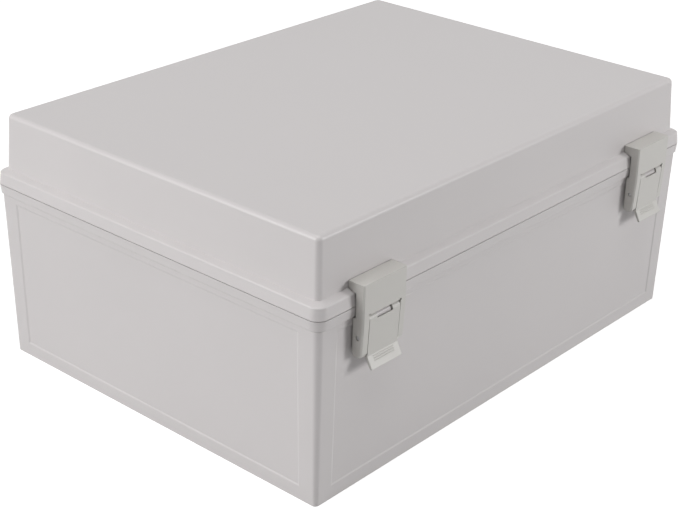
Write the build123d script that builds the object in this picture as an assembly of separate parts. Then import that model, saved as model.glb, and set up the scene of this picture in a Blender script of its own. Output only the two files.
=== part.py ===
from build123d import *
import math
import os

os.makedirs("parts", exist_ok=True)

# Frame: millimetres, +Z up, origin at the centre of the bottom face.
# X runs along the latch side, the latches are at -Y and the hinges at +Y.

# Box
box_width = 400.0
box_depth = 300.0
box_height = 180.0
parting_height = 130.0
corner_radius = 8.0
wall_corner_radius = 4.7
foot_corner_radius = 3.0
base_draft = 1.2
lid_draft = 3.1
wall = 4.0
floor_thickness = 4.5
lid_wall = 3.5
lid_top = 3.5
lid_corner_radius = 3.8
lid_edge_radius = 3.2
inner_corner_radius = 4.0
inner_edge_bevel = 2.0

# Rim of the base
lip_height = 7.5
lip_step = 1.5
lip_draft = 0.75
lip_edge_bevel = 1.0
tongue_width = 2.0
tongue_height = 2.8

# Flange of the lid
parting_gap = 0.4
flange_side_height = 8.2
flange_side_draft = 1.0
flange_slope_width = 4.85
flange_slope_height = 2.0
flange_edge_bevel = 0.5
channel_land = 2.0
channel_width = 5.2
channel_depth = 5.6
channel_wall = 2.0

# Recessed side panels
panel_depth = 0.5
panel_bevel = 1.2
panel_side_margin = 15.0
panel_bottom_margin = 9.5
panel_top_margin = 4.0

# Hinges
hinge_end_distance = 70.0
hinge_standoff = 5.6
hinge_radius = 5.0
hinge_pin_radius = 2.0
hinge_ear_width = 8.0
hinge_knuckle_width = 24.0
hinge_side_clearance = 0.3
hinge_gusset_height = 18.0
lid_open_angle = 115.0
heel_contact_angle = -50.0
heel_half_thickness = 1.5
heel_clearance = 0.2

# Latches
latch_end_distance = 51.5
lever_width = 27.8
lever_front = 6.6
lever_plate = 2.2
lever_cheek = 1.8
lever_knuckle_radius = 3.3
lever_taper = 1.25
lever_straight = 24.7
lever_slot_rise = 1.7
lever_slot_edge = 0.75
tab_length = 7.7
tab_flare = 4.1
pivot_drop = 9.0
pivot_pin_radius = 1.25
lug_width = 13.6
lug_nose_radius = 2.2
lug_gusset_height = 8.0
link_drop = 11.3
link_setback = 1.05
link_pin_radius = 1.5
link_pin_recess = 0.5
link_pin_bevel = 0.5
yoke_arm = 5.5
yoke_gap = 0.35
yoke_lip_clearance = 0.45
yoke_arm_clearance = 0.6
yoke_top_height = 15.5
yoke_foot_drop = 33.2
yoke_foot_radius = 2.6
yoke_top_radius = 1.6
yoke_side_bevel = 0.9
yoke_slot_gap = 0.6
yoke_notch_width = 1.6
yoke_notch_height = 1.4
yoke_notch_inset = 0.2
yoke_foot_taper = 1.2
yoke_foot_taper_height = 2.0
yoke_arm_step = 0.5
yoke_pocket_rise = 1.8
yoke_pocket_margin = 1.6
pivot_pin_inset = 0.3
ridge_root = 0.3
same_place = 0.01
yoke_skin = 2.4
hook_tip_thickness = 4.5
hook_wall_clearance = 0.4
hook_clearance = 0.3
yoke_rib = 1.6
ridge_count = 3
ridge_start = 1.0
ridge_pitch = 1.3
ridge_height = 0.45
ridge_length = 18.2
cut_reach = 30.0
running_clearance = 0.06
press_clearance = 0.02
side_clearance = 0.3

# Mounting plate and its fixings
plate_margin = 19.0
plate_thickness = 2.0
plate_corner_cut = 16.0
plate_hole_inset_x = 12.0
plate_hole_inset_y = 22.0
pillar_height = 10.0
pillar_width = 12.0
pillar_hole_depth = 9.0
screw_radius = 2.0
screw_length = 10.0
screw_head_radius = 4.2
screw_head_height = 2.4
screw_recess_length = 4.2
screw_recess_width = 0.9
screw_recess_depth = 1.2
plate_hole_clearance = 0.3

# Wall fixing holes
wall_hole_radius = 3.25
wall_hole_inset = 13.0
wall_pad_half = 8.5
wall_pad_height = 5.5

# Gasket
gasket_side_clearance = 0.1

# Places worked out from the sizes above
lip_bottom = parting_height - lip_height
base_slope = math.tan(math.radians(base_draft))
lid_slope = math.tan(math.radians(lid_draft))
wall_top_inset = lip_draft + lip_step
foot_inset = wall_top_inset + lip_bottom * base_slope
cavity_top_inset = wall_top_inset + wall
cavity_floor_inset = foot_inset - floor_thickness * base_slope + wall
flange_bottom = parting_height + parting_gap
flange_edge = flange_bottom + flange_side_height
lid_foot = flange_edge + flange_slope_height
lid_foot_inset = flange_side_draft + flange_slope_width
lid_top_inset = lid_foot_inset + (box_height - lid_foot) * lid_slope
channel_inner = channel_land + channel_width
lid_mouth_inset = channel_inner + channel_wall
channel_top = flange_bottom + channel_depth
tongue_inset = channel_land + (channel_width - tongue_width) / 2
tongue_top = parting_height + tongue_height

front = -box_depth / 2
back = box_depth / 2
hinge_y = back + hinge_standoff
hinge_z = parting_height
heel_direction = math.radians(heel_contact_angle)
heel_corner_forward = -heel_half_thickness * math.sin(heel_direction)

pivot_y = front - lever_front + lever_knuckle_radius
pivot_z = parting_height - pivot_drop
lever_top = pivot_z + lever_knuckle_radius
lever_face = front - lever_front
lever_foot = pivot_z - lever_straight
link_y = pivot_y + link_setback
link_z = pivot_z - link_drop
yoke_half = lever_width / 2 + yoke_gap + yoke_arm
yoke_top = parting_height + yoke_top_height
yoke_foot = parting_height - yoke_foot_drop

floor_half_x = box_width / 2 - cavity_floor_inset
floor_half_y = box_depth / 2 - cavity_floor_inset
plate_half_x = floor_half_x - plate_margin
plate_half_y = floor_half_y - plate_margin
plate_bottom = floor_thickness + pillar_height
plate_top = plate_bottom + plate_thickness
plate_hole_x = plate_half_x - plate_hole_inset_x
plate_hole_y = plate_half_y - plate_hole_inset_y
wall_hole_x = floor_half_x - wall_hole_inset
wall_hole_y = floor_half_y - wall_hole_inset
wall_pad_top = floor_thickness + wall_pad_height
hinge_x = box_width / 2 - hinge_end_distance
latch_x = box_width / 2 - latch_end_distance


def outline(inset, radius, z):
    """Rounded rectangle at height z, set in from the box's overall footprint."""
    size = RectangleRounded(box_width - 2 * inset, box_depth - 2 * inset, radius)
    return Pos(0, 0, z) * size


def banded(*sections):
    """Solid through rounded rectangles given as (inset, radius, z), lowest first."""
    return loft([outline(*section) for section in sections], ruled=True)


def edges_at(shape, z, tolerance=0.01):
    """Edges that lie wholly in the plane at height z."""
    chosen = []
    for edge in shape.edges():
        box = edge.bounding_box()
        if abs(box.min.Z - z) < tolerance and abs(box.max.Z - z) < tolerance:
            chosen.append(edge)
    return chosen


def side_profile(points, x_low, x_high):
    """Solid with the outline (y, z) in side view, from x_low to x_high."""
    face = make_face(Polyline([(0, y, z) for y, z in points], close=True))
    return extrude(Pos(x_low, 0, 0) * face, x_high - x_low, dir=(1, 0, 0))


def cross_rod(radius, x_low, x_high, y, z):
    """Round bar along X."""
    bar = Rot(0, 90, 0) * Cylinder(radius, x_high - x_low)
    return Pos((x_low + x_high) / 2, y, z) * bar


def upright(radius, x, y, z_low, z_high):
    """Round bar along Z."""
    bar = Cylinder(radius, z_high - z_low, align=(Align.CENTER, Align.CENTER, Align.MIN))
    return Pos(x, y, z_low) * bar


def four_corners(half_x, half_y):
    """The four corners of a rectangle about the origin."""
    return [(sx * half_x, sy * half_y) for sx in (-1, 1) for sy in (-1, 1)]


def wall_panels():
    """Shallow blocks with bevelled sides that sink a panel into each drafted wall."""
    middle = (panel_bottom_margin + lip_bottom - panel_top_margin) / 2
    height = lip_bottom - panel_top_margin - panel_bottom_margin
    inset = foot_inset - middle * base_slope
    tilt = math.radians(base_draft)
    blocks = []
    for turn in range(4):
        across, reach = (box_width, box_depth) if turn % 2 == 0 else (box_depth, box_width)
        width = across - 2 * inset - 2 * panel_side_margin
        surface = Plane(
            origin=(0, -(reach / 2 - inset), middle),
            x_dir=(1, 0, 0),
            z_dir=(0, -math.cos(tilt), -math.sin(tilt)),
        )
        faces = []
        for step in (-1, 1):
            face = Rectangle(width + 2 * step * panel_bevel, height + 2 * step * panel_bevel)
            faces.append(surface * Pos(0, 0, step * panel_depth) * face)
        blocks.append(Rot(0, 0, 90 * turn) * loft(faces, ruled=True))
    return blocks


def hinge_ear(x_low, x_high):
    """One base knuckle with the gusset that ties it to the rim."""
    wall_y = back - foot_inset + (parting_height - hinge_gusset_height) * base_slope
    low = (wall_y - 1, parting_height - hinge_gusset_height)
    rear = math.radians(-35)
    knuckle = cross_rod(hinge_radius, x_low, x_high, hinge_y, hinge_z)
    web = side_profile(
        [
            low,
            (hinge_y + hinge_radius * math.cos(rear), hinge_z + hinge_radius * math.sin(rear)),
            (hinge_y, hinge_z),
            (back - 1, hinge_z),
            (wall_y - 1, hinge_z - 1),
        ],
        x_low,
        x_high,
    )
    return knuckle + web


def latch_lug(x):
    """Nose on the base that carries a latch's pivot pin."""
    wall_y = front + foot_inset - (pivot_z - lug_gusset_height) * base_slope
    nose = cross_rod(lug_nose_radius, x - lug_width / 2, x + lug_width / 2, pivot_y, pivot_z)
    web = side_profile(
        [
            (pivot_y, pivot_z + lug_nose_radius),
            (front + 1, pivot_z + lug_nose_radius),
            (wall_y + 1, pivot_z - lug_gusset_height),
            (wall_y - 0.4, pivot_z - lug_gusset_height),
            (pivot_y, pivot_z - lug_nose_radius),
        ],
        x - lug_width / 2,
        x + lug_width / 2,
    )
    return nose + web


def wall_pad(x, y):
    """Thick pad round a wall fixing hole, grown out of its corner of the box."""
    size = wall_pad_half + wall_hole_inset + wall / 2
    pad = Box(size, size, wall_pad_height + 1, align=(Align.CENTER, Align.CENTER, Align.MIN))
    shift = size / 2 - wall_pad_half
    return Pos(x + math.copysign(shift, x), y + math.copysign(shift, y), floor_thickness - 1) * pad


def make_base():
    """The deep moulded half of the box."""
    body = banded(
        (foot_inset, foot_corner_radius, 0),
        (wall_top_inset, wall_corner_radius, lip_bottom),
    )
    bevel_share = lip_edge_bevel / lip_height
    lip = banded(
        (lip_draft + lip_edge_bevel, corner_radius - lip_draft - lip_edge_bevel, lip_bottom),
        (lip_draft * (1 - bevel_share), corner_radius - lip_draft, lip_bottom + lip_edge_bevel),
        (0, corner_radius, parting_height),
    )
    added = [lip]
    for side in (-1, 1):
        inner = hinge_knuckle_width / 2 + hinge_side_clearance
        outer = inner + hinge_ear_width
        added += [hinge_ear(side * hinge_x - outer, side * hinge_x - inner)]
        added += [hinge_ear(side * hinge_x + inner, side * hinge_x + outer)]
        added.append(latch_lug(side * latch_x))
    body += added

    cavity = banded(
        (cavity_floor_inset + inner_edge_bevel, inner_corner_radius, floor_thickness),
        (cavity_floor_inset, inner_corner_radius, floor_thickness + inner_edge_bevel),
        (cavity_top_inset, inner_corner_radius, parting_height + 1),
    )
    body -= [cavity] + wall_panels()

    tongue = outline(tongue_inset, corner_radius - tongue_inset, 0)
    tongue -= outline(tongue_inset + tongue_width, corner_radius - tongue_inset - tongue_width, 0)
    added = [extrude(Pos(0, 0, parting_height - 1) * tongue, tongue_height + 1)]
    holes = []
    for x, y in four_corners(plate_hole_x, plate_hole_y):
        pillar = Box(pillar_width, pillar_width, pillar_height + 1, align=(Align.CENTER, Align.CENTER, Align.MIN))
        added.append(Pos(x, y, floor_thickness - 1) * pillar)
        holes.append(upright(screw_radius, x, y, plate_bottom - pillar_hole_depth, plate_bottom + 1))
    for x, y in four_corners(wall_hole_x, wall_hole_y):
        added.append(wall_pad(x, y))
        holes.append(upright(wall_hole_radius, x, y, -1, wall_pad_top + 1))
    for side in (-1, 1):
        x = side * hinge_x
        holes.append(cross_rod(hinge_pin_radius + press_clearance, x - cut_reach, x + cut_reach, hinge_y, hinge_z))
        x = side * latch_x
        holes.append(cross_rod(pivot_pin_radius + press_clearance, x - lug_width, x + lug_width, pivot_y, pivot_z))
    body += added
    body -= holes
    return body


def lid_knuckle(x):
    """Lid half of a hinge, with the heel that stops the lid on the base's rim."""
    x_low = x - hinge_knuckle_width / 2
    x_high = x + hinge_knuckle_width / 2
    knuckle = cross_rod(hinge_radius, x_low, x_high, hinge_y, hinge_z)
    web = side_profile(
        [
            (hinge_y, hinge_z + 0.6),
            (back - 2, hinge_z + 0.6),
            (back - 2, flange_edge - 1),
            (back, flange_edge - 1.5),
            (hinge_y, hinge_z + hinge_radius),
        ],
        x_low,
        x_high,
    )
    return knuckle + web + heel(x_low, x_high)


def heel(x_low, x_high):
    """Short cam on the knuckle that meets the rim when the lid is fully open."""
    forward = math.cos(heel_direction)
    rim_y = back - lip_draft * 0.55
    stand = hinge_y - rim_y - heel_clearance
    length = (stand - heel_corner_forward) / forward
    turned = heel_direction - math.radians(lid_open_angle)
    along = (-math.cos(turned), math.sin(turned))
    across = (math.sin(turned), math.cos(turned))
    corners = []
    for reach, side in ((0, -1), (length, -1), (length, 1), (0, 1)):
        y = hinge_y + reach * along[0] + side * heel_half_thickness * across[0]
        z = hinge_z + reach * along[1] + side * heel_half_thickness * across[1]
        corners.append((y, z))
    return side_profile(corners, x_low, x_high)


def make_lid():
    """The shallow moulded half, with its flange and seal channel."""
    side_share = 1 - flange_edge_bevel / flange_side_height
    slope_ratio = flange_slope_height / flange_slope_width
    buried = lid_wall / 3
    flange = banded(
        (0, corner_radius, flange_bottom),
        (flange_side_draft * side_share, corner_radius - flange_side_draft, flange_edge - flange_edge_bevel),
        (
            flange_side_draft + flange_edge_bevel,
            corner_radius - flange_side_draft,
            flange_edge + flange_edge_bevel * slope_ratio,
        ),
        (lid_foot_inset + buried, lid_corner_radius, lid_foot + buried * slope_ratio),
    )
    start_inset = lid_foot_inset - flange_slope_height * lid_slope
    crown = Rectangle(box_width - 2 * start_inset, box_depth - 2 * start_inset)
    crown = extrude(Pos(0, 0, flange_edge) * crown, box_height - flange_edge, taper=lid_draft)
    corners = [edge for edge in crown.edges() if edge.bounding_box().size.Z > 1]
    crown = fillet(corners, lid_corner_radius)
    crown = fillet(edges_at(crown, box_height), lid_edge_radius)
    body = flange + crown

    for side in (-1, 1):
        body += lid_knuckle(side * hinge_x)

    inner_top_inset = lid_top_inset + lid_wall
    body -= banded(
        (lid_mouth_inset, inner_corner_radius, flange_bottom - 1),
        (inner_top_inset, inner_corner_radius, box_height - lid_top - inner_edge_bevel),
        (inner_top_inset + inner_edge_bevel, inner_corner_radius, box_height - lid_top),
    )

    channel = outline(channel_land, corner_radius - channel_land, 0) - outline(channel_inner, 3.0, 0)
    body -= extrude(Pos(0, 0, flange_bottom) * channel, channel_depth)

    for side in (-1, 1):
        x = side * hinge_x
        body -= cross_rod(hinge_pin_radius + running_clearance, x - cut_reach, x + cut_reach, hinge_y, hinge_z)
    return body


def make_gasket():
    """Rubber ring in the lid's channel, resting on the base's tongue."""
    outer = channel_land + gasket_side_clearance
    inner = channel_inner - gasket_side_clearance
    ring = outline(outer, corner_radius - outer, 0) - outline(inner, 3.0 + gasket_side_clearance, 0)
    return extrude(Pos(0, 0, tongue_top) * ring, channel_top - tongue_top)


def hinge_pin(x):
    """Steel pin through both ears and the lid's knuckle."""
    half = hinge_knuckle_width / 2 + hinge_side_clearance + hinge_ear_width
    return cross_rod(hinge_pin_radius, x - half, x + half, hinge_y, hinge_z)


def make_lever(x):
    """Finger lever: two knuckles, a front plate, two cheeks and a flared tab."""
    low = x - lever_width / 2
    high = x + lever_width / 2
    slot = lug_width / 2 + side_clearance
    slot_low = pivot_z - lug_nose_radius - side_clearance
    foot_face = lever_face + lever_taper
    slot_face = lever_face + lever_taper * (pivot_z - slot_low) / lever_straight
    slot_top = slot_low + lever_slot_rise
    slot_top_face = lever_face + lever_taper * (pivot_z - slot_top) / lever_straight
    tab_face = foot_face - tab_flare
    tab_foot = lever_foot - tab_length
    rear = front - 0.5
    plate_outline = [
        (slot_top_face, slot_top),
        (foot_face, lever_foot),
        (tab_face, tab_foot),
        (tab_face + lever_plate * 0.7, tab_foot - 0.4),
        (foot_face + lever_plate, lever_foot + 0.3),
        (slot_face + lever_plate, slot_low),
        (slot_top_face + lever_slot_edge, slot_top),
    ]
    shoulder_outline = [
        (lever_face, pivot_z),
        (slot_face, slot_low),
        (slot_face + lever_plate, slot_low),
        (lever_face + lever_plate, pivot_z),
    ]
    cheek_outline = [
        (lever_face, pivot_z),
        (foot_face, lever_foot),
        (foot_face + lever_plate, lever_foot - 1.0),
        (rear - 0.6, lever_foot + 2.5),
        (rear, lever_foot + 5.0),
        (rear, pivot_z - lever_knuckle_radius),
        (pivot_y + lever_knuckle_radius, pivot_z),
    ]
    body = side_profile(plate_outline, low, high)
    for inner, outer, cheek in ((x - slot, low, low + lever_cheek), (x + slot, high, high - lever_cheek)):
        ends = sorted((inner, outer))
        body += side_profile(shoulder_outline, *ends)
        body += cross_rod(lever_knuckle_radius, *ends, pivot_y, pivot_z)
        body += side_profile(cheek_outline, *sorted((outer, cheek)))
    body -= cross_rod(pivot_pin_radius + running_clearance, low - 1, high + 1, pivot_y, pivot_z)
    body -= cross_rod(link_pin_radius + press_clearance, low - 1, high + 1, link_y, link_z)

    flare = math.atan2(tab_flare, tab_length)
    for index in range(ridge_count):
        down = ridge_start + index * ridge_pitch
        y = foot_face - down * math.tan(flare)
        z = lever_foot - down
        root = ridge_pitch * ridge_root
        ridge = [(y + ridge_root, z + root), (y - ridge_height, z), (y + ridge_root, z - root)]
        body += side_profile(ridge, x - ridge_length / 2, x + ridge_length / 2)
    return body


def make_yoke(x):
    """Frame with a hook over the lid's flange and two arms beside the lever."""
    low = x - yoke_half
    high = x + yoke_half
    inner_face = front - yoke_lip_clearance
    arm_rear = front + wall_top_inset - yoke_arm_clearance
    lid_face = front + lid_foot_inset + (yoke_top - lid_foot) * lid_slope
    tip_y = lid_face - hook_wall_clearance
    under_y = front + flange_side_draft
    under_z = flange_edge + hook_clearance
    tip_under = yoke_top - hook_tip_thickness
    foot_face = lever_face + lever_taper
    profile = [
        (tip_y, tip_under),
        (tip_y, yoke_top),
        (lever_face, yoke_top),
        (lever_face, pivot_z),
        (foot_face, yoke_foot + yoke_foot_taper_height),
        (foot_face + yoke_foot_taper, yoke_foot),
        (arm_rear, yoke_foot),
        (arm_rear, lip_bottom - yoke_arm_step),
        (inner_face, lip_bottom),
        (inner_face, under_z),
        (under_y, under_z),
    ]
    body = side_profile(profile, low, high)
    top_edges = []
    foot_edges = []
    for edge in body.edges().filter_by(Axis.X):
        centre = edge.center()
        if abs(centre.Z - yoke_top) < same_place:
            top_edges.append(edge)
        if abs(centre.Z - yoke_foot) < same_place and abs(centre.Y - arm_rear) < same_place:
            foot_edges.append(edge)
    body = fillet([edge for edge in top_edges if edge.center().Y < front - 1], yoke_top_radius)
    body = fillet(foot_edges, yoke_foot_radius)
    sides = []
    for edge in body.edges():
        centre = edge.center()
        at_side = abs(abs(centre.X - x) - yoke_half) < same_place
        if at_side and centre.Y < lever_face + yoke_skin:
            sides.append(edge)
    body = chamfer(sides, yoke_side_bevel)

    window = lever_width / 2 + yoke_gap
    window_top = lever_top + yoke_slot_gap
    opening = Box(2 * window, cut_reach, window_top - yoke_foot + 5, align=(Align.CENTER, Align.CENTER, Align.MAX))
    body -= Pos(x, pivot_y, window_top) * opening
    for side in (-1, 1):
        notch = Box(yoke_notch_width, cut_reach, yoke_notch_height)
        body -= Pos(x + side * (window - yoke_notch_inset), pivot_y, window_top) * notch

    pocket_front = lever_face + yoke_skin
    pocket_width = yoke_half - yoke_skin
    pocket = side_profile(
        [
            (pocket_front, window_top + yoke_pocket_rise),
            (front, window_top + yoke_pocket_rise),
            (front, under_z - yoke_pocket_margin),
            (pocket_front, under_z - yoke_pocket_margin),
        ],
        x - pocket_width,
        x + pocket_width,
    )
    for side in (-1, 1):
        rib = Box(yoke_rib, cut_reach, cut_reach)
        pocket -= Pos(x + side * pocket_width / 3, pivot_y, (window_top + under_z) / 2) * rib
    body -= pocket

    body -= cross_rod(link_pin_radius + running_clearance, low - 1, high + 1, link_y, link_z)
    return body


def pivot_pin(x):
    """Steel pin on which the lever turns."""
    half = lever_width / 2 - pivot_pin_inset
    return cross_rod(pivot_pin_radius, x - half, x + half, pivot_y, pivot_z)


def link_pin(x):
    """Steel pin that joins the lever to the yoke's arms."""
    half = yoke_half - link_pin_recess
    pin = cross_rod(link_pin_radius, x - half, x + half, link_y, link_z)
    return chamfer(pin.edges().filter_by(GeomType.CIRCLE), link_pin_bevel)


def make_plate():
    """Sheet steel mounting plate with cut corners."""
    sheet = Rectangle(2 * plate_half_x, 2 * plate_half_y)
    sheet = chamfer(sheet.vertices(), plate_corner_cut)
    for x, y in four_corners(plate_hole_x, plate_hole_y):
        sheet -= Pos(x, y) * Circle(screw_radius + plate_hole_clearance)
    return extrude(Pos(0, 0, plate_bottom) * sheet, plate_thickness)


def plate_screw(x, y):
    """Cheese head screw with a cross recess, cut into its boss."""
    head_top = plate_top + screw_head_height
    head = upright(screw_head_radius, x, y, plate_top, head_top)
    for turn in (0, 90):
        recess = Box(screw_recess_length, screw_recess_width, 2 * screw_recess_depth)
        head -= Pos(x, y, head_top) * Rot(0, 0, turn) * recess
    return head + upright(screw_radius - press_clearance, x, y, plate_top - screw_length, plate_top)


def group(solids, name):
    """Like pieces that share one node, each its own solid."""
    return Compound(label=name, children=solids)


def make_all():
    """Every node of the box by name."""
    nodes = {
        "base_shell": make_base(),
        "lid_shell": make_lid(),
        "lid_gasket": make_gasket(),
        "mounting_plate": make_plate(),
    }
    for name, side in (("left", -1), ("right", 1)):
        nodes[f"hinge_pin_{name}"] = hinge_pin(side * hinge_x)
        x = side * latch_x
        nodes[f"latch_{name}_yoke"] = make_yoke(x)
        nodes[f"latch_{name}_lever"] = make_lever(x)
        nodes[f"latch_{name}_pivot_pin"] = pivot_pin(x)
        nodes[f"latch_{name}_link_pin"] = link_pin(x)
    plate_places = four_corners(plate_hole_x, plate_hole_y)
    name = "mounting_plate_screws"
    nodes[name] = group([plate_screw(x, y) for x, y in plate_places], name)
    return nodes


for node, shape in make_all().items():
    export_step(shape, f"parts/{node}.step")
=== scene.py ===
import bpy
import math
from mathutils import Matrix, Vector

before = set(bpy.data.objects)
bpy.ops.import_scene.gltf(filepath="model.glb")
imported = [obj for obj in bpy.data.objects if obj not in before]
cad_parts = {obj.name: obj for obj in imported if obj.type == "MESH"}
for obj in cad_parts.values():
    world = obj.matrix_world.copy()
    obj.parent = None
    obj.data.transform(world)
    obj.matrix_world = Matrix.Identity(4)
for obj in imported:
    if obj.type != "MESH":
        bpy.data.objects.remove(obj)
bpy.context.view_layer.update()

# Colours, linear
SHELL = (0.616, 0.589, 0.588)
LATCH = (0.588, 0.574, 0.545)
RUBBER = (0.018, 0.018, 0.019)
ZINC = (0.56, 0.575, 0.60)
STEEL = (0.50, 0.50, 0.505)
FLOOR = (0.50, 0.50, 0.50)
WHITE = (1.0, 1.0, 1.0)
OPAQUE = (1.0,)

# Light: directions point from the object to the lamp, distances and sizes in
# metres, strength is the light that reaches the object's middle
AMBIENT = 0.08
FLOOR_GLOW = 0.80
AIM = Vector((0.0, 0.0, 0.09))
KEY_TOWARDS = (-0.84, 0.32, 0.30)
KEY_DISTANCE = 2.8
KEY_SIZE = 1.5
KEY_STRENGTH = 2.05
TOP_TOWARDS = (-0.12, -0.06, 0.99)
TOP_DISTANCE = 2.0
TOP_SIZE = 1.6
TOP_STRENGTH = 1.62
FILL_TOWARDS = (0.45, -0.84, 0.25)
FILL_DISTANCE = 2.6
FILL_SIZE = 0.8
FILL_STRENGTH = 1.44

# Photograph's viewpoint
IMAGE_WIDTH = 679
FOCAL_PIXELS = 1575.1
SENSOR_WIDTH = 36.0
CAMERA_PLACE = (-0.79015, -0.68131, 0.55585)
CAMERA_AZIMUTH = math.radians(-48.7975)
CAMERA_ELEVATION = math.radians(25.6083)
CAMERA_ROLL = math.radians(1.1993)
NEAREST_SEEN = 0.01
FURTHEST_SEEN = 100.0

# Floor, half its side in metres
FLOOR_HALF = 30.0

# Surfaces: grain in waves per metre, relief and edge radius in metres,
# roughness from its lowest to its highest, spread as a share of the colour
SHELL_ROUGHNESS = (0.34, 0.42)
SHELL_GRAIN = 1500.0
SHELL_RELIEF = 0.000012
SHELL_EDGE = 0.0006
LATCH_ROUGHNESS = (0.36, 0.44)
LATCH_GRAIN = 1300.0
LATCH_RELIEF = 0.000016
LATCH_EDGE = 0.00035
PLASTIC_IOR = 1.53
PLASTIC_SPREAD = 0.012
FLOW_GRAIN = 9.0
WAVINESS_GRAIN = 26.0
WAVINESS_SHARE = 2.5
ZINC_CRYSTALS = 95.0
ZINC_SPREAD = 0.10
ZINC_ROUGHNESS = (0.34, 0.50)
ZINC_GRAIN = 420.0
ZINC_RELIEF = 0.00002
STEEL_GRAIN = 900.0
STEEL_STRETCH = (1.0, 0.08, 0.08)
STEEL_SPREAD = 0.06
STEEL_ROUGHNESS = (0.26, 0.38)
STEEL_RELIEF = 0.000012
RUBBER_GRAIN = 1400.0
RUBBER_SPREAD = 0.12
RUBBER_ROUGHNESS = (0.62, 0.78)
RUBBER_RELIEF = 0.00004
RUBBER_SHINE = 0.35

# Noise values between which a colour or roughness runs from low to high
NOISE_LOW = 0.3
NOISE_HIGH = 0.7
EDGE_SAMPLES = 6


def tinted(colour, factor):
    """The colour, lighter or darker by a factor, as a node colour."""
    return tuple(channel * factor for channel in colour) + OPAQUE


class Finish:
    """A node material whose parts are added one after another."""

    def __init__(self, name):
        self.material = bpy.data.materials.new(name)
        self.material.use_nodes = True
        self.nodes = self.material.node_tree.nodes
        self.links = self.material.node_tree.links
        self.shader = self.nodes["Principled BSDF"]
        self.place = self.nodes.new("ShaderNodeTexCoord").outputs["Object"]

    def noise(self, scale, detail=3.0, stretch=None):
        """Noise in the object's own space, scale in waves per metre."""
        texture = self.nodes.new("ShaderNodeTexNoise")
        texture.inputs["Scale"].default_value = scale
        texture.inputs["Detail"].default_value = detail
        source = self.place
        if stretch:
            mapping = self.nodes.new("ShaderNodeMapping")
            mapping.inputs["Scale"].default_value = stretch
            self.links.new(source, mapping.inputs["Vector"])
            source = mapping.outputs["Vector"]
        self.links.new(source, texture.inputs["Vector"])
        return texture.outputs["Fac"]

    def cells(self, scale):
        """Random value for each cell of a crystal pattern."""
        texture = self.nodes.new("ShaderNodeTexVoronoi")
        texture.inputs["Scale"].default_value = scale
        self.links.new(self.place, texture.inputs["Vector"])
        split = self.nodes.new("ShaderNodeSeparateColor")
        self.links.new(texture.outputs["Color"], split.inputs["Color"])
        return split.outputs["Red"]

    def colour(self, value, colour, spread):
        """Base colour that varies with the value by plus and minus the spread."""
        ramp = self.nodes.new("ShaderNodeValToRGB")
        low, high = ramp.color_ramp.elements
        low.position = NOISE_LOW
        high.position = NOISE_HIGH
        low.color = tinted(colour, 1 - spread)
        high.color = tinted(colour, 1 + spread)
        self.links.new(value, ramp.inputs["Fac"])
        self.links.new(ramp.outputs["Color"], self.shader.inputs["Base Color"])

    def roughness(self, value, limits):
        """Roughness that runs between the limits with the value."""
        spread = self.nodes.new("ShaderNodeMapRange")
        spread.inputs["From Min"].default_value = NOISE_LOW
        spread.inputs["From Max"].default_value = NOISE_HIGH
        spread.inputs["To Min"].default_value = limits[0]
        spread.inputs["To Max"].default_value = limits[1]
        self.links.new(value, spread.inputs["Value"])
        self.links.new(spread.outputs["Result"], self.shader.inputs["Roughness"])

    def soft_edges(self, radius):
        """Edges that catch the light as if rounded by the radius."""
        bevel = self.nodes.new("ShaderNodeBevel")
        bevel.samples = EDGE_SAMPLES
        bevel.inputs["Radius"].default_value = radius
        self.links.new(bevel.outputs["Normal"], self.shader.inputs["Normal"])

    def bump(self, value, height):
        """Surface relief of the given height in metres."""
        relief = self.nodes.new("ShaderNodeBump")
        relief.inputs["Distance"].default_value = height
        relief.inputs["Strength"].default_value = 1.0
        self.links.new(value, relief.inputs["Height"])
        previous = self.shader.inputs["Normal"].links
        if previous:
            self.links.new(previous[0].from_socket, relief.inputs["Normal"])
        self.links.new(relief.outputs["Normal"], self.shader.inputs["Normal"])


def moulded(name, colour, roughness, grain, height, edge):
    """Moulded plastic: fine grain, faint flow marks and a soft sheen."""
    finish = Finish(name)
    finish.shader.inputs["IOR"].default_value = PLASTIC_IOR
    flow = finish.noise(FLOW_GRAIN, 2.0)
    fine = finish.noise(grain, 2.0)
    finish.colour(flow, colour, PLASTIC_SPREAD)
    finish.roughness(flow, roughness)
    finish.soft_edges(edge)
    finish.bump(fine, height)
    finish.bump(finish.noise(WAVINESS_GRAIN, 1.0), height * WAVINESS_SHARE)
    return finish.material


def galvanised(name):
    """Zinc coated sheet with its crystal pattern."""
    finish = Finish(name)
    finish.shader.inputs["Metallic"].default_value = 1.0
    crystals = finish.cells(ZINC_CRYSTALS)
    finish.colour(crystals, ZINC, ZINC_SPREAD)
    finish.roughness(crystals, ZINC_ROUGHNESS)
    finish.bump(finish.noise(ZINC_GRAIN), ZINC_RELIEF)
    return finish.material


def turned(name):
    """Steel pins and screws with fine marks round their axis."""
    finish = Finish(name)
    finish.shader.inputs["Metallic"].default_value = 1.0
    marks = finish.noise(STEEL_GRAIN, 2.0, stretch=STEEL_STRETCH)
    finish.colour(marks, STEEL, STEEL_SPREAD)
    finish.roughness(marks, STEEL_ROUGHNESS)
    finish.bump(marks, STEEL_RELIEF)
    return finish.material


def rubber(name):
    """Matt black seal."""
    finish = Finish(name)
    finish.shader.inputs["Specular IOR Level"].default_value = RUBBER_SHINE
    grain = finish.noise(RUBBER_GRAIN)
    finish.colour(grain, RUBBER, RUBBER_SPREAD)
    finish.roughness(grain, RUBBER_ROUGHNESS)
    finish.bump(grain, RUBBER_RELIEF)
    return finish.material


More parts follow.
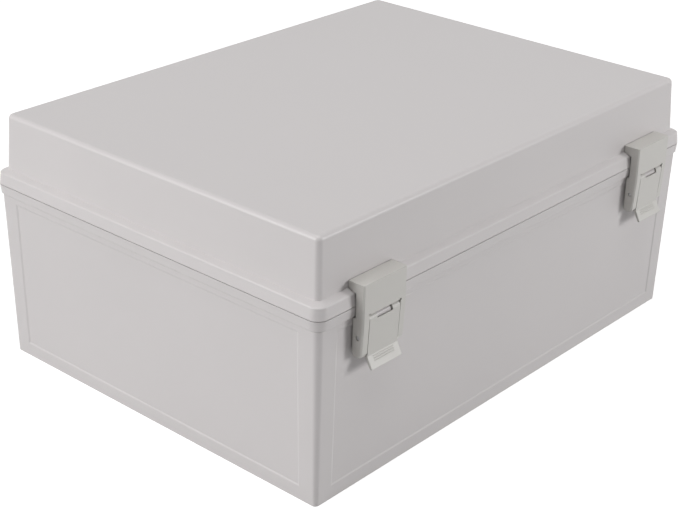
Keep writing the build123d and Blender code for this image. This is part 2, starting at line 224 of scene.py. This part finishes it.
def dress():
    """Gives every node of the frame its finish."""
    shell = moulded(
        "shell_plastic", SHELL, SHELL_ROUGHNESS, SHELL_GRAIN, SHELL_RELIEF, SHELL_EDGE
    )
    latch = moulded(
        "latch_moulding", LATCH, LATCH_ROUGHNESS, LATCH_GRAIN, LATCH_RELIEF, LATCH_EDGE
    )
    seal = rubber("seal_rubber_finish")
    zinc = galvanised("zinc_sheet")
    steel = turned("pin_steel")
    for name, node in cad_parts.items():
        if name in ("base_shell", "lid_shell"):
            chosen = shell
        elif name.endswith(("_yoke", "_lever")):
            chosen = latch
        elif name == "lid_gasket":
            chosen = seal
        elif name == "mounting_plate":
            chosen = zinc
        else:
            chosen = steel
        for slot in node.material_slots:
            slot.material = chosen


def white_for_eye(tree, strength):
    """Strength that only camera, mirror and glass rays see."""
    nodes, links = tree.nodes, tree.links
    path = nodes.new("ShaderNodeLightPath")
    total = path.outputs["Is Camera Ray"]
    for ray in ("Is Glossy Ray", "Is Transmission Ray"):
        highest = nodes.new("ShaderNodeMath")
        highest.operation = "MAXIMUM"
        links.new(total, highest.inputs[0])
        links.new(path.outputs[ray], highest.inputs[1])
        total = highest.outputs[0]
    scaled = nodes.new("ShaderNodeMath")
    scaled.operation = "MULTIPLY"
    scaled.inputs[1].default_value = strength
    links.new(total, scaled.inputs[0])
    return scaled.outputs[0]


def make_floor():
    """Pale floor that looks white and keeps the object's shadow."""
    mesh = bpy.data.meshes.new("floor")
    turns = ((-1, -1), (1, -1), (1, 1), (-1, 1))
    corners = [(FLOOR_HALF * x, FLOOR_HALF * y, 0) for x, y in turns]
    mesh.from_pydata(corners, [], [(0, 1, 2, 3)])
    floor = bpy.data.objects.new("floor", mesh)
    bpy.context.scene.collection.objects.link(floor)
    material = bpy.data.materials.new("floor_paper")
    material.use_nodes = True
    tree = material.node_tree
    tree.nodes.clear()
    diffuse = tree.nodes.new("ShaderNodeBsdfDiffuse")
    diffuse.inputs["Color"].default_value = FLOOR + OPAQUE
    glow = tree.nodes.new("ShaderNodeEmission")
    tree.links.new(white_for_eye(tree, FLOOR_GLOW), glow.inputs["Strength"])
    both = tree.nodes.new("ShaderNodeAddShader")
    tree.links.new(diffuse.outputs[0], both.inputs[0])
    tree.links.new(glow.outputs[0], both.inputs[1])
    output = tree.nodes.new("ShaderNodeOutputMaterial")
    tree.links.new(both.outputs[0], output.inputs["Surface"])
    mesh.materials.append(material)


def make_world():
    """White to the eye, soft grey light on the object."""
    world = bpy.data.worlds.new("studio")
    world.use_nodes = True
    tree = world.node_tree
    tree.nodes.clear()
    eye = white_for_eye(tree, 1.0 - AMBIENT)
    total = tree.nodes.new("ShaderNodeMath")
    total.operation = "ADD"
    total.inputs[1].default_value = AMBIENT
    tree.links.new(eye, total.inputs[0])
    background = tree.nodes.new("ShaderNodeBackground")
    background.inputs["Color"].default_value = WHITE + OPAQUE
    tree.links.new(total.outputs[0], background.inputs["Strength"])
    output = tree.nodes.new("ShaderNodeOutputWorld")
    tree.links.new(background.outputs[0], output.inputs["Surface"])
    bpy.context.scene.world = world


def add_panel(name, towards, distance, size, strength):
    """Square soft lamp that faces the object."""
    data = bpy.data.lights.new(name, "AREA")
    data.size = size
    data.energy = strength * math.pi * distance**2
    direction = Vector(towards).normalized()
    lamp = bpy.data.objects.new(name, data)
    lamp.location = AIM + direction * distance
    lamp.rotation_euler = direction.to_track_quat("Z", "Y").to_euler()
    bpy.context.scene.collection.objects.link(lamp)


def make_camera():
    """Camera at the photograph's viewpoint."""
    back = Vector(
        (
            math.sin(CAMERA_AZIMUTH) * math.cos(CAMERA_ELEVATION),
            -math.cos(CAMERA_AZIMUTH) * math.cos(CAMERA_ELEVATION),
            math.sin(CAMERA_ELEVATION),
        )
    )
    level = (-back).cross(Vector((0, 0, 1))).normalized()
    upright = level.cross(-back)
    right = level * math.cos(CAMERA_ROLL) + upright * math.sin(CAMERA_ROLL)
    up = upright * math.cos(CAMERA_ROLL) - level * math.sin(CAMERA_ROLL)
    data = bpy.data.cameras.new("camera")
    data.sensor_fit = "HORIZONTAL"
    data.sensor_width = SENSOR_WIDTH
    data.lens = FOCAL_PIXELS * SENSOR_WIDTH / IMAGE_WIDTH
    data.clip_start = NEAREST_SEEN
    data.clip_end = FURTHEST_SEEN
    camera = bpy.data.objects.new("camera", data)
    turn = Matrix((right, up, back)).transposed().to_4x4()
    camera.matrix_world = Matrix.Translation(CAMERA_PLACE) @ turn
    bpy.context.scene.collection.objects.link(camera)
    bpy.context.scene.camera = camera


dress()
make_floor()
make_world()
add_panel("key", KEY_TOWARDS, KEY_DISTANCE, KEY_SIZE, KEY_STRENGTH)
add_panel("top", TOP_TOWARDS, TOP_DISTANCE, TOP_SIZE, TOP_STRENGTH)
add_panel("fill", FILL_TOWARDS, FILL_DISTANCE, FILL_SIZE, FILL_STRENGTH)
make_camera()
bpy.context.scene.view_settings.view_transform = "Standard"
